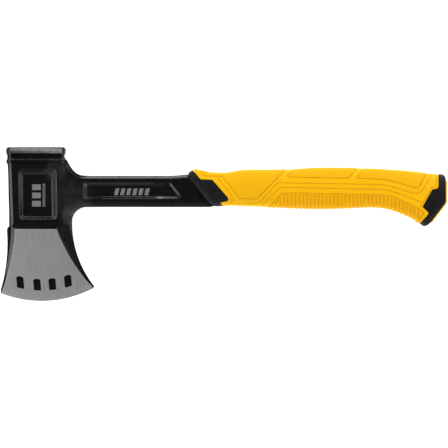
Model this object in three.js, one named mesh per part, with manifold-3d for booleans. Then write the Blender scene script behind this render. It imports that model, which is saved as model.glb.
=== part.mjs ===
// One-piece camp axe: head, shaft and tang forged in one, with a moulded grip.
//
// Millimetres. The axe lies on its side: +X runs from the head to the butt, +Y points to the
// hammer poll, -Y to the cutting edge, and Z is the thickness, with Z = 0 the mid-plane.
// X = 0 is the middle of the cutting edge and Y = 0 is the centre line of the shaft.
// The finished group is moved so that its box stands on Z = 0 around X = 0, Y = 0.
import * as THREE from "three";
import { mergeVertices } from "three/addons/utils/BufferGeometryUtils.js";
import Module from "manifold-3d";

const wasm = await Module();
wasm.setup();

const CLEARANCE = 0.3; // gap between neighbouring pieces

// Head, from the poll down to the cutting edge.
const POLL_HEIGHT = 38.7; // striking face above the shaft's centre line
const LIP = { height: 6.8, thickness: 19, front: -31, rear: 21.1, round: 1.2 };
const NECK = { height: 4.4, thickness: 13.8, front: -29.9, rear: 20 };
const BEAD = { height: 3, thickness: 15.6, front: -30.7, rear: 20.8, round: 0.7 };
const CHEEK = { thickness: 14.6, front: -29.4, rear: 17, lean: 1.5, chamfer: 2, bottom: -32.3 };
const POCKET = { margin: 6.6, height: 45, wall: 4.7, depth: 1.6, fromTop: 4 };
const EDGE = { radius: 97.4, centreY: 1.7, toe: -35.7, heel: 45.4, thickness: 0.8 };
const BLADE = { thickness: 13.8, frontSilhouette: -30, rearSilhouette: 26.6, rimThickness: 8 };
const GRIND = { front: -23.6, rear: 13.3 }; // top corners of the ground face
const SLOT = { width: 6.1, length: 10.2, toEdge: 9.2, web: 1.4, places: [-18.6, -3.8, 9.4, 23.1] };

// Web and shaft.
const SHAFT = { depth: 26.9, thickness: 12.6, chamfer: 3 };
const UPPER_WEB = { cornerX: 25.7, cornerY: 21, endX: 37.3 };
const LOWER_WEB = { radius: 12.7 };
const RECESS = { start: 36.4, depth: 2.2, flange: 6, wall: 2.8, toShoulder: 19.2, corner: 1.8 };

// Shoulder: the slanting end of the shaft, where the collar starts.
const SHOULDER = { x: 127.7, lean: THREE.MathUtils.degToRad(34.8), rise: 2.3 };

// Tang and the core moulded around it.
const TANG = { depth: 16, thickness: 6, offset: 1.5, end: 26 }; // end: short of the butt
const PEG = { radius: 2.5, places: [48, 96, 144] }; // from the shoulder
const CORE = { wallY: 3, wallZ: 5.2, start: 22, end: 12.5, corner: 3 };

// Handle: how far it stands outside the shaft, by distance from the shoulder or from the butt.
const HANDLE_LENGTH = 226.6;
const HANDLE_TOP = {
  front: [[-3, 0], [0.4, 2.7], [4.8, 5.6], [7, 6.4], [9.2, 5.7], [13.1, 4.6], [18.3, 3.6],
    [25.8, 3], [31.9, 3], [39.3, 3.7], [44.5, 4.7], [50.2, 5.3], [65.1, 5.4]],
  rear: [[113.9, 7], [96, 7.1], [77.2, 6.7], [51, 5.5], [30.1, 3.8], [14.3, 2], [0, 1.3]],
};
const HANDLE_BOTTOM = {
  front: [[-3, 0.3], [18.3, 0.7], [28.8, -0.6], [34.1, -0.9], [49.8, -0.5], [65.5, 0.1]],
  rear: [[124.4, 1.8], [108.7, 2], [87.7, 1.4], [66.8, 0.7], [60.2, 0.9], [51, 2.3], [40.5, 6],
    [30.1, 10.9], [23.5, 15.5], [20, 18], [14.6, 20], [0, 22]],
};
const HANDLE_SIDE = {
  front: [[-3, 3], [7, 3.8], [20, 5.5], [32, 6.2], [65, 7.3]],
  rear: [[113, 8], [77, 7.6], [50, 7.4], [22, 8.3], [0, 8]],
};
const BUTT = { proud: 1.3, diagonalX: 14.6, diagonalY: 13.2, bevel: 2.5, cornerTop: 2.4 };
const PAD = { seat: 1.5, width: 17, top: 3.6 };

const half = (size) => size / 2;
const shaftTop = half(SHAFT.depth);
const shaftBottom = -half(SHAFT.depth);
const buttX = SHOULDER.x + HANDLE_LENGTH;
const tangEnd = buttX - TANG.end;
const coreStart = SHOULDER.x + CORE.start;
const coreEnd = buttX - CORE.end;

// ---- Solids -----------------------------------------------------------------------------

function toSolid(geometry) {
  const bare = geometry.clone();
  for (const name of Object.keys(bare.attributes)) {
    if (name !== "position") bare.deleteAttribute(name);
  }
  const merged = mergeVertices(bare, 1e-4);
  return new wasm.Manifold(new wasm.Mesh({
    numProp: 3,
    vertProperties: new Float32Array(merged.attributes.position.array),
    triVerts: new Uint32Array(merged.index.array),
  }));
}

function toMesh(name, solid, material) {
  const mesh = solid.getMesh();
  const geometry = new THREE.BufferGeometry();
  geometry.setAttribute("position", new THREE.BufferAttribute(mesh.vertProperties, 3));
  geometry.setIndex(new THREE.BufferAttribute(mesh.triVerts, 1));
  geometry.computeVertexNormals();
  const result = new THREE.Mesh(geometry, material);
  result.name = name;
  return result;
}

function signedVolume(vertices, faces) {
  let volume = 0;
  for (let i = 0; i < faces.length; i += 3) {
    const [a, b, c] = [vertices[faces[i]], vertices[faces[i + 1]], vertices[faces[i + 2]]];
    volume += a.dot(b.clone().cross(c)) / 6;
  }
  return volume;
}

// A closed solid through a row of convex rings that all have the same number of points.
function loft(rings) {
  const count = rings[0].length;
  const vertices = rings.flat();
  const last = vertices.length - count;
  const faces = [];
  for (let start = 0; start < last; start += count) {
    for (let i = 0; i < count; i++) {
      const j = (i + 1) % count;
      faces.push(start + i, start + j, start + count + j);
      faces.push(start + i, start + count + j, start + count + i);
    }
  }
  for (let i = 1; i + 1 < count; i++) {
    faces.push(0, i + 1, i);
    faces.push(last, last + i, last + i + 1);
  }
  if (signedVolume(vertices, faces) < 0) faces.reverse();
  const geometry = new THREE.BufferGeometry().setFromPoints(vertices);
  geometry.setIndex(faces);
  return toSolid(geometry);
}

// A side-view outline given thickness through Z, with chamfered or plain long edges.
function plate(points, thickness, chamfer = 0, chamferDepth = chamfer) {
  const geometry = new THREE.ExtrudeGeometry(new THREE.Shape(points), {
    depth: thickness - 2 * chamferDepth,
    bevelEnabled: chamfer > 0,
    bevelSize: chamfer,
    bevelOffset: -chamfer,
    bevelThickness: chamferDepth,
    bevelSegments: 1,
  });
  geometry.translate(0, 0, chamferDepth - half(thickness));
  return toSolid(geometry);
}

// A bar along X with a rounded rectangle for its section.
function bar(startX, endX, centreY, depth, thickness, corner) {
  const y = half(depth) - corner;
  const z = half(thickness) - corner;
  const shape = new THREE.Shape();
  shape.absarc(y, z, corner, 0, Math.PI / 2);
  shape.absarc(-y, z, corner, Math.PI / 2, Math.PI);
  shape.absarc(-y, -z, corner, Math.PI, 1.5 * Math.PI);
  shape.absarc(y, -z, corner, 1.5 * Math.PI, 2 * Math.PI);
  const geometry = new THREE.ExtrudeGeometry(shape, {
    depth: endX - startX, bevelEnabled: false, curveSegments: 4,
  });
  const toX = new THREE.Matrix4().makeBasis(
    new THREE.Vector3(0, 1, 0), new THREE.Vector3(0, 0, 1), new THREE.Vector3(1, 0, 0),
  );
  geometry.applyMatrix4(toX);
  geometry.translate(startX, centreY, 0);
  return toSolid(geometry);
}

// ---- Outlines ---------------------------------------------------------------------------

const at = (x, y) => new THREE.Vector2(x, y);

// Moves an open line sideways by a distance, to the right of its direction.
function shiftLine(points, distance) {
  const normals = points.slice(1).map((point, i) => {
    const run = point.clone().sub(points[i]).normalize();
    return at(run.y, -run.x);
  });
  return points.map((point, i) => {
    const before = normals[Math.max(i - 1, 0)];
    const after = normals[Math.min(i, normals.length - 1)];
    const mitre = before.clone().add(after);
    return point.clone().addScaledVector(mitre, (2 * distance) / mitre.lengthSq());
  });
}

// Smooth curve through points sorted by x, as a function of x.
function smoothThrough(points) {
  const last = points.length - 1;
  const slopes = points.map((_, i) => {
    const [a, b] = [points[Math.max(i - 1, 0)], points[Math.min(i + 1, last)]];
    return (b[1] - a[1]) / (b[0] - a[0]);
  });
  return (x) => {
    const next = points.findIndex((point) => point[0] >= x);
    const i = Math.min(Math.max(next < 0 ? last : next, 1), last);
    const [x0, y0] = points[i - 1];
    const [x1, y1] = points[i];
    const step = x1 - x0;
    const t = THREE.MathUtils.clamp((x - x0) / step, 0, 1);
    const s = 1 - t;
    return y0 * s * s * (1 + 2 * t) + y1 * t * t * (1 + 2 * s)
      + step * s * t * (slopes[i - 1] * s - slopes[i] * t);
  };
}

// A row of handle points, the front ones measured from the shoulder, the rear from the butt.
function alongHandle({ front, rear }) {
  const places = front.map(([distance, value]) => [SHOULDER.x + distance, value]);
  places.push(...rear.map(([distance, value]) => [buttX - distance, value]));
  return smoothThrough(places);
}

const handleTop = alongHandle(HANDLE_TOP);
const handleBottom = alongHandle(HANDLE_BOTTOM);
const handleSide = alongHandle(HANDLE_SIDE);

function shoulderX(y) {
  return SHOULDER.x + (shaftTop + SHOULDER.rise - y) * Math.tan(SHOULDER.lean);
}

// Line where collar and grip meet, from above the handle to below it.
function frontSeam() {
  return [
    at(SHOULDER.x - 3.6, shaftTop + 14.5),
    at(SHOULDER.x + 11, shaftTop - 3.1),
    at(SHOULDER.x + 21.1, shaftTop - 3.3),
    at(SHOULDER.x + 35.2, shaftBottom + 7.5),
    at(SHOULDER.x + 34.4, shaftBottom + 4.8),
    at(SHOULDER.x + 28.1, shaftBottom + 3.6),
    at(SHOULDER.x + 38, shaftBottom - 9),
  ];
}

// Line where grip and end cap meet, from above the handle to below it.
function rearSeam() {
  return [
    at(buttX - 7.9, shaftTop + 12),
    at(buttX - 7.7, shaftTop - 8.9),
    at(buttX - 9.5, shaftTop - 11),
    at(buttX - 12.8, shaftTop - 11.7),
    at(buttX - 21.9, shaftBottom - 0.3),
    at(buttX - 17.4, shaftBottom - 4.4),
    at(buttX - 16.9, shaftBottom - 7),
    at(buttX - 32, shaftBottom - 23),
  ];
}

// Outer face of the end cap, from the top of the handle to the tip of the hook.
function buttFace() {
  const faceX = buttX - BUTT.proud;
  const kneeY = shaftBottom + 3.8;
  return [
    at(faceX, shaftTop - PAD.top),
    at(faceX, kneeY),
    at(faceX - BUTT.diagonalX + BUTT.proud, kneeY - BUTT.diagonalY - 4.5),
  ];
}

// ---- Head -------------------------------------------------------------------------------

// One level of the head: a rectangle with chamfered corners, seen along Y.
function headRing(y, front, rear, thickness, chamfer) {
  const z = half(thickness);
  return [
    [front, -z + chamfer], [front + chamfer, -z], [rear - chamfer, -z], [rear, -z + chamfer],
    [rear, z - chamfer], [rear - chamfer, z], [front + chamfer, z], [front, z - chamfer],
  ].map(([x, ringZ]) => new THREE.Vector3(x, y, ringZ));
}

// One collar-like band of the poll, rounded over at its two ends.
function pollBand(topY, band) {
  const round = band.round ?? 0;
  const inset = (y) => headRing(
    y, band.front + round, band.rear - round, band.thickness - 2 * round, 0.8,
  );
  const full = (y) => headRing(y, band.front, band.rear, band.thickness, 1.6);
  const bottomY = topY - band.height;
  return loft([inset(topY), full(topY - round), full(bottomY + round), inset(bottomY)]);
}

function makePoll() {
  const neckY = POLL_HEIGHT - LIP.height;
  const beadY = neckY - NECK.height;
  const overlap = 0.5;
  const neck = { ...NECK, height: NECK.height + 2 * overlap };
  return pollBand(POLL_HEIGHT, LIP)
    .add(pollBand(neckY + overlap, { ...neck, round: 0.01 }))
    .add(pollBand(beadY, BEAD));
}

const cheekTop = POLL_HEIGHT - LIP.height - NECK.height - BEAD.height;

function makeCheeks() {
  const overlap = 1;
  const top = headRing(cheekTop + overlap, CHEEK.front, CHEEK.rear, CHEEK.thickness, CHEEK.chamfer);
  const bottom = headRing(
    CHEEK.bottom, CHEEK.front + CHEEK.lean, CHEEK.rear, CHEEK.thickness, CHEEK.chamfer,
  );
  return loft([top, bottom]);
}

// Height of the cutting edge's arc at x.
function edgeY(x, radius = EDGE.radius) {
  return EDGE.centreY - Math.sqrt(radius * radius - x * x);
}

function bend(start, control, end, t) {
  const s = 1 - t;
  return start * s * s + 2 * control * s * t + end * t * t;
}

// One level of the blade, t = 0 under the cheeks and t = 1 at the edge. Seen along Y it has a
// thin front rim, the flat ground face and a thin rear rim on each side.
function bladeRing(t) {
  const grindSteps = 8;
  const frontRim = bend(BLADE.frontSilhouette, BLADE.frontSilhouette, EDGE.toe, t);
  const rearRim = bend(BLADE.rearSilhouette, BLADE.rearSilhouette + 1, EDGE.heel, t);
  const frontGrind = bend(GRIND.front, GRIND.front, EDGE.toe + 0.2, t);
  const rearGrind = bend(GRIND.rear, GRIND.rear + 8, EDGE.heel - 0.2, t);
  const face = THREE.MathUtils.lerp(half(BLADE.thickness), half(EDGE.thickness), t);
  const rim = THREE.MathUtils.lerp(half(BLADE.rimThickness), half(EDGE.thickness), t);
  const points = [[frontRim, rim * 0.7]];
  for (let i = 0; i <= grindSteps; i++) {
    points.push([THREE.MathUtils.lerp(frontGrind, rearGrind, i / grindSteps), face]);
  }
  points.push([rearRim, rim]);
  const level = (x) => THREE.MathUtils.lerp(CHEEK.bottom, edgeY(x), t);
  const upper = points.map(([x, z]) => new THREE.Vector3(x, level(x), z));
  const lower = points.map(([x, z]) => new THREE.Vector3(x, level(x), -z)).reverse();
  return [...upper, ...lower];
}

function makeBlade() {
  const levels = [0, 0.12, 0.25, 0.4, 0.55, 0.7, 0.85, 1];
  const root = bladeRing(0).map((point) => point.clone().add(new THREE.Vector3(0, 2, 0)));
  return loft([root, ...levels.map(bladeRing)]);
}

// The web fills the two corners between head and shaft and runs on as the shaft.
function makeShaft() {
  const filletY = shaftBottom - LOWER_WEB.radius;
  const filletX = BLADE.rearSilhouette + LOWER_WEB.radius;
  const shape = new THREE.Shape();
  shape.moveTo(NECK.rear - 12, CHEEK.bottom - 2);
  shape.lineTo(BLADE.rearSilhouette, CHEEK.bottom - 2);
  shape.lineTo(BLADE.rearSilhouette, filletY);
  shape.absarc(filletX, filletY, LOWER_WEB.radius, Math.PI, Math.PI / 2, true);
  shape.lineTo(shoulderX(shaftBottom) - CLEARANCE, shaftBottom);
  shape.lineTo(shoulderX(shaftTop) - CLEARANCE, shaftTop);
  shape.lineTo(UPPER_WEB.endX, shaftTop);
  shape.quadraticCurveTo(
    UPPER_WEB.cornerX + 4.7, shaftTop, UPPER_WEB.cornerX, UPPER_WEB.cornerY,
  );
  shape.lineTo(BEAD.rear + 0.3, cheekTop + BEAD.height);
  shape.lineTo(NECK.rear - 12, cheekTop + BEAD.height);
  return plate(shape.getPoints(8), SHAFT.thickness, SHAFT.chamfer, SHAFT.chamfer * 0.8);
}

function makeTang() {
  const rootX = SHOULDER.x - 2;
  let tang = bar(rootX, tangEnd, TANG.offset, TANG.depth, TANG.thickness, 1);
  for (const distance of PEG.places) {
    const hole = new THREE.CylinderGeometry(
      PEG.radius + CLEARANCE, PEG.radius + CLEARANCE, TANG.thickness + 2, 20,
    );
    hole.rotateX(Math.PI / 2);
    hole.translate(SHOULDER.x + distance, TANG.offset, 0);
    tang = tang.subtract(toSolid(hole));
  }
  return tang;
}

// A hollow with sloping walls in one face: mouth and floor are outlines with equal counts.
function hollow(mouth, floor, faceZ, depth, side) {
  const ring = (points, z) => points.map(({ x, y }) => new THREE.Vector3(x, y, z * side));
  return loft([ring(mouth, faceZ + 2), ring(mouth, faceZ), ring(floor, faceZ - depth)]);
}

function box(left, right, bottom, top) {
  return [at(left, bottom), at(right, bottom), at(right, top), at(left, top)];
}

function cheekPocket(side) {
  const top = cheekTop - POCKET.fromTop;
  const bottom = top - POCKET.height;
  const left = CHEEK.front + CHEEK.chamfer + POCKET.margin;
  const right = CHEEK.rear - half(POCKET.margin) - CHEEK.chamfer;
  const { wall } = POCKET;
  return hollow(
    box(left, right, bottom, top), box(left + wall, right - wall, bottom + wall, top - wall),
    half(CHEEK.thickness), POCKET.depth, side,
  );
}

function shaftRecess(side) {
  const outline = (inset) => {
    const h = shaftTop - RECESS.flange - inset;
    const left = RECESS.start + inset;
    const endX = (y) => shoulderX(y) - RECESS.toShoulder - inset;
    return [
      at(left + RECESS.corner, -h), at(endX(-h), -h), at(endX(h), h),
      at(left + RECESS.corner, h), at(left, h - RECESS.corner), at(left, RECESS.corner - h),
    ];
  };
  return hollow(outline(0), outline(RECESS.wall), half(SHAFT.thickness), RECESS.depth, side);
}

// The blind slots follow the edge's arc and leave a thin web of steel in the middle.
function bladeSlot(centreX, side) {
  const left = centreX - half(SLOT.width);
  const right = centreX + half(SLOT.width);
  const outer = EDGE.radius - SLOT.toEdge;
  const inner = outer - SLOT.length;
  const outline = [
    at(left, edgeY(left, outer)), at(right, edgeY(right, outer)),
    at(right, edgeY(right, inner)), at(left, edgeY(left, inner)),
  ];
  const ring = (z) => outline.map(({ x, y }) => new THREE.Vector3(x, y, z * side));
  return loft([ring(half(SLOT.web)), ring(half(BLADE.thickness))]);
}

function makeForging() {
  let forging = makePoll().add(makeCheeks()).add(makeBlade()).add(makeShaft()).add(makeTang());
  for (const side of [1, -1]) {
    forging = forging.subtract(cheekPocket(side)).subtract(shaftRecess(side));
    for (const place of SLOT.places) forging = forging.subtract(bladeSlot(place, side));
  }
  return forging;
}

// ---- Handle -----------------------------------------------------------------------------

function coreBar(grow) {
  return bar(
    coreStart - grow, coreEnd + grow, TANG.offset,
    TANG.depth + 2 * (CORE.wallY + grow), TANG.thickness + 2 * (CORE.wallZ + grow),
    CORE.corner + grow,
  );
}

function tangBore(startX, endX) {
  return bar(
    startX, endX, TANG.offset, TANG.depth + 2 * CLEARANCE, TANG.thickness + 2 * CLEARANCE, 1,
  );
}

// The core closes behind the tang and grips it with pegs through its holes.
function makeCore() {
  let core = coreBar(0).subtract(tangBore(coreStart - 1, tangEnd + CLEARANCE));
  for (const distance of PEG.places) {
    const peg = new THREE.CylinderGeometry(PEG.radius, PEG.radius, TANG.thickness + CORE.wallZ, 20);
    peg.rotateX(Math.PI / 2);
    peg.translate(SHOULDER.x + distance, TANG.offset, 0);
    core = core.add(toSolid(peg));
  }
  return core;
}

// Outside of the handle before it is divided into collar, grip and cap.
function makeHandleSkin() {
  const stations = 64;
  const ringPoints = 32;
  const squareness = 0.72; // 1 is an ellipse, smaller is boxier
  const startX = SHOULDER.x - 2.5;
  const rings = [];
  for (let i = 0; i <= stations; i++) {
    const x = THREE.MathUtils.lerp(startX, buttX, i / stations);
    const top = shaftTop + handleTop(x);
    const bottom = shaftBottom - handleBottom(x);
    const z = half(SHAFT.thickness) + handleSide(x);
    rings.push(Array.from({ length: ringPoints }, (_, k) => {
      const angle = (2 * Math.PI * k) / ringPoints;
      const [c, s] = [Math.cos(angle), Math.sin(angle)];
      return new THREE.Vector3(
        x,
        half(top + bottom) + half(top - bottom) * Math.sign(c) * Math.abs(c) ** squareness,
        z * Math.sign(s) * Math.abs(s) ** squareness,
      );
    }));
  }
  return loft(rings);
}

const cutThickness = 80; // more than the handle is thick

function makeCollar(skin) {
  const above = shaftTop + 14.5;
  const below = shaftBottom - 9;
  const outline = [
    at(shoulderX(above), above), ...shiftLine(frontSeam(), half(CLEARANCE)),
    at(shoulderX(below), below),
  ];
  return skin.intersect(plate(outline, cutThickness))
    .subtract(tangBore(SHOULDER.x - 5, coreStart))
    .subtract(coreBar(CLEARANCE));
}

function makeGrip(skin) {
  const outline = [
    ...shiftLine(frontSeam(), -half(CLEARANCE)),
    ...shiftLine(rearSeam(), half(CLEARANCE)).reverse(),
  ];
  return skin.intersect(plate(outline, cutThickness))
    .subtract(tangBore(SHOULDER.x, coreStart))
    .subtract(coreBar(CLEARANCE));
}

function makeEndCap(skin) {
  const [top, knee, tip] = buttFace();
  const cornerX = top.x - BUTT.cornerTop;
  const roof = shaftTop + 12;
  const region = [
    ...shiftLine(rearSeam(), -half(CLEARANCE)),
    at(tip.x - 4, tip.y - 14), at(tip.x, tip.y), knee, top,
    at(top.x, shaftTop - 1.5), at(cornerX, shaftTop + 1), at(cornerX, roof),
  ];
  const envelope = [
    at(buttX - 40, roof), at(buttX - 40, tip.y - 3.2), at(tip.x - 5.5, tip.y - 3.2),
    at(tip.x - 2.4, tip.y - 2.2), tip, knee, top,
    at(top.x, shaftTop - 1.5), at(cornerX, shaftTop + 1), at(cornerX, roof),
  ];
  const buttThickness = SHAFT.thickness + 2 * handleSide(buttX - 10);
  return skin.intersect(plate(region, cutThickness))
    .intersect(plate(envelope, buttThickness, BUTT.bevel))
    .subtract(coreBar(CLEARANCE))
    .subtract(padBand(CLEARANCE));
}

// The pad is a bent strip let into the cap's outer face, and stands proud of it.
function padBand(grow) {
  const face = buttFace();
  const run = face[2].clone().sub(face[1]).normalize();
  face[0].y += grow;
  face[2].addScaledVector(run, grow - 1.2);
  const outer = shiftLine(face, -BUTT.proud - grow);
  const inner = shiftLine(face, PAD.seat + grow);
  return plate([...outer, ...inner.reverse()], PAD.width + 2 * grow);
}

// ---- Assembly ---------------------------------------------------------------------------

function material(color, roughness, metalness) {
  return new THREE.MeshStandardMaterial({ color, roughness, metalness });
}

function makeAxe() {
  const blackSteel = material(0x1c1c1e, 0.45, 0.3);
  const blackPlastic = material(0x222224, 0.6, 0);
  const yellowRubber = material(0xf5b61a, 0.7, 0);
  const skin = makeHandleSkin();
  const axe = new THREE.Group();
  axe.name = "camp_axe";
  axe.add(
    toMesh("axe_forging", makeForging(), blackSteel),
    toMesh("tang_core", makeCore(), blackPlastic),
    toMesh("front_collar", makeCollar(skin), blackPlastic),
    toMesh("grip", makeGrip(skin), yellowRubber),
    toMesh("end_cap", makeEndCap(skin), blackPlastic),
    toMesh("butt_pad", padBand(0), yellowRubber),
  );
  const bounds = new THREE.Box3().setFromObject(axe);
  const middle = bounds.getCenter(new THREE.Vector3());
  axe.position.set(-middle.x, -middle.y, -bounds.min.z);
  return axe;
}

export default makeAxe();
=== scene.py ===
import math

import bmesh
import bpy
import numpy as np
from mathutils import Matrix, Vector, kdtree
from mathutils.geometry import delaunay_2d_cdt


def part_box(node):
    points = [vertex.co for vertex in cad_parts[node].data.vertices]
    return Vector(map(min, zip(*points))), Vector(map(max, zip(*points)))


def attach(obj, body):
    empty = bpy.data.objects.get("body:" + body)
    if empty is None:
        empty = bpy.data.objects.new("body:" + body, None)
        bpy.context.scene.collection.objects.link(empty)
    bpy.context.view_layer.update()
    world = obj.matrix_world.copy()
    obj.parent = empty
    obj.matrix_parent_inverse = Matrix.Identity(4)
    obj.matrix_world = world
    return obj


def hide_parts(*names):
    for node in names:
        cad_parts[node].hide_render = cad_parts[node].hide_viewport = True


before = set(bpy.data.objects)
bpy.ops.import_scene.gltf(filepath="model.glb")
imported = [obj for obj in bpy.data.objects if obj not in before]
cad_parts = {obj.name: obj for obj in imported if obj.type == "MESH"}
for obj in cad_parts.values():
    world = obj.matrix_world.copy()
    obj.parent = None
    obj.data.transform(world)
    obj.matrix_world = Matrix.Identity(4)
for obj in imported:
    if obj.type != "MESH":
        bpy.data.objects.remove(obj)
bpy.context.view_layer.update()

# The axe lies on its side. Shapes are drawn in millimetres from the middle of the cutting edge
# (x = 0), the centre line of the shaft (y = 0) and the mid-plane of the thickness (z = 0).
# x runs to the butt, y to the poll, z up.
MM = 0.001
POLL_Y = 38.7
TOE_X = -35.7
steel_low, steel_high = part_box("axe_forging")
ORIGIN = np.array([
    steel_low.x - TOE_X * MM,
    steel_high.y - POLL_Y * MM,
    (steel_low.z + steel_high.z) / 2,
])


# ---- Lines and areas in the side view

def line(*points):
    return np.array(points, float)


def arc(centre, radius, start, end, count=24):
    """Points on a circle, with angles in degrees."""
    angles = np.radians(np.linspace(start, end, count))
    return np.column_stack([
        centre[0] + radius * np.cos(angles), centre[1] + radius * np.sin(angles),
    ])


def curve(points, count=8):
    """A smooth line through points."""
    p = np.vstack([2 * points[0] - points[1], points, 2 * points[-1] - points[-2]])
    t = np.linspace(0, 1, count, endpoint=False)[:, None]
    spans = [
        0.5 * (2 * b + (c - a) * t + (2 * a - 5 * b + 4 * c - d) * t ** 2
               + (3 * b - a - 3 * c + d) * t ** 3)
        for a, b, c, d in zip(p[:-3], p[1:-2], p[2:-1], p[3:])
    ]
    return np.vstack([*spans, points[-1:]])


def closed(points):
    return np.vstack([points, points[:1]])


def resample(points, spacing):
    """The same line with evenly spaced points that keep its two ends."""
    steps = np.hypot(*np.diff(points, axis=0).T)
    places = np.concatenate([[0], np.cumsum(steps)])
    count = max(int(round(places[-1] / spacing)), 1) + 1
    at = np.linspace(0, places[-1], count)
    return np.column_stack([np.interp(at, places, points[:, k]) for k in (0, 1)])


def resample_keeping_corners(points, spacing):
    parts = [resample(points[i:i + 2], spacing)[:-1] for i in range(len(points) - 1)]
    return np.vstack([*parts, points[-1:]])


def drop_repeats(outline, gap=0.05):
    keep = np.hypot(*(outline - np.roll(outline, 1, axis=0)).T) > gap
    return outline[keep]


def side_normals(points):
    run = np.gradient(points, axis=0)
    run /= np.maximum(np.hypot(*run.T), 1e-9)[:, None]
    return np.column_stack([run[:, 1], -run[:, 0]])


def rows_beside(points, offsets, spacing):
    """Rows of points along a line, on it and beside it, which give a crease a fine mesh."""
    even = resample_keeping_corners(points, spacing)
    normals = side_normals(even)
    return np.vstack([even + offset * normals for offset in offsets])


def distance_to(points, places):
    """Distance from each place to a line."""
    best = np.full(len(places), np.inf)
    for a, b in zip(points[:-1], points[1:]):
        run = b - a
        length = run @ run
        if length == 0:
            continue
        t = np.clip((places - a) @ run / length, 0, 1)
        best = np.minimum(best, np.hypot(*(places - a - t[:, None] * run).T))
    return best


def inside(outline, places):
    """Which places are inside a closed outline."""
    x, y = places.T
    hits = np.zeros(len(places), bool)
    for (ax, ay), (bx, by) in zip(outline, np.roll(outline, -1, axis=0)):
        if ay == by:
            continue
        crosses = (ay > y) != (by > y)
        hits ^= crosses & (x < ax + (y - ay) * (bx - ax) / (by - ay))
    return hits


def thin_out(places, gap, kept):
    """Leaves out each place that is nearer than gap to one before it."""
    cells = {}
    result = []

    def cell(p):
        return math.floor(p[0] / gap), math.floor(p[1] / gap)

    def crowded(p):
        i, j = cell(p)
        near = [q for di in (-1, 0, 1) for dj in (-1, 0, 1) for q in cells.get((i + di, j + dj), ())]
        return any((p[0] - q[0]) ** 2 + (p[1] - q[1]) ** 2 < gap * gap for q in near)

    for p in kept:
        cells.setdefault(cell(p), []).append(p)
    for p in places:
        if not crowded(p):
            cells.setdefault(cell(p), []).append(p)
            result.append(p)
    return np.array(result).reshape(-1, 2)


def grid_inside(outline, pitch):
    low, high = outline.min(axis=0), outline.max(axis=0)
    xs = np.arange(low[0] + pitch / 2, high[0], pitch)
    ys = np.arange(low[1] + pitch / 2, high[1], pitch)
    rows = [np.column_stack([xs + (j % 2) * pitch / 2, np.full(len(xs), y)])
            for j, y in enumerate(ys)]
    places = np.vstack(rows)
    return places[inside(outline, places)]


RIM_GAP = 0.12  # mesh points keep this far from an outline
FINE_GAP = 0.22  # and this far from each other


def triangulate(outline, rows, pitch, keep_lines=()):
    """Triangles over a closed outline: fine along the given rows, coarse in between.

    Returns the 2D places, the triangles and the indices of the outline's own places.
    """
    border = len(outline)
    fixed = [outline]
    edges = [(i, (i + 1) % border) for i in range(border)]
    start = border
    for kept in keep_lines:
        fixed.append(kept)
        edges += [(start + i, start + i + 1) for i in range(len(kept) - 1)]
        start += len(kept)
    fixed = np.vstack(fixed)
    fine = np.vstack(rows)
    fine = fine[inside(outline, fine)]
    fine = fine[distance_to(closed(outline), fine) > RIM_GAP]
    fine = thin_out(fine, FINE_GAP, kept=fixed)
    near = kdtree.KDTree(len(fine) + len(fixed))
    for i, p in enumerate(np.vstack([fixed, fine])):
        near.insert((p[0], p[1], 0), i)
    near.balance()
    coarse = [p for p in grid_inside(outline, pitch)
              if near.find((p[0], p[1], 0))[2] > pitch * 0.6]
    places = np.vstack([fixed, fine, np.array(coarse).reshape(-1, 2)])
    found = delaunay_2d_cdt(
        [Vector(p) for p in places], edges, [list(range(border))], 1, 1e-5, True,
    )
    verts = np.array([tuple(v) for v in found[0]])
    faces = np.array([f for f in found[2] if len(f) == 3])
    middle = verts[faces].mean(axis=1)
    faces = faces[inside(outline, middle)]
    order = {source: i for i, sources in enumerate(found[3]) for source in sources}
    rim = [order[i] for i in range(border)]
    return verts, faces, rim


def soft_min(a, b, k):
    h = np.maximum(k - np.abs(a - b), 0) / k
    return np.minimum(a, b) - h * h * k / 4


def soft_max(a, b, k):
    return -soft_min(-a, -b, k)


def rolled(distance, radius):
    """How far a rounded edge has dropped at a distance in from its rim."""
    d = np.clip(distance, 0, radius)
    return radius - np.sqrt(np.maximum(radius ** 2 - (radius - d) ** 2, 0))


def step(x, start, end):
    t = np.clip((x - start) / (end - start), 0, 1)
    return t * t * (3 - 2 * t)


# ---- Materials

# Places where the forging's skin is rougher, each with how far it is rough and how far it fades.
ROUGH_PLACES = (((25, -6), 9, 26), ((13, 19), 9, 15))


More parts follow.
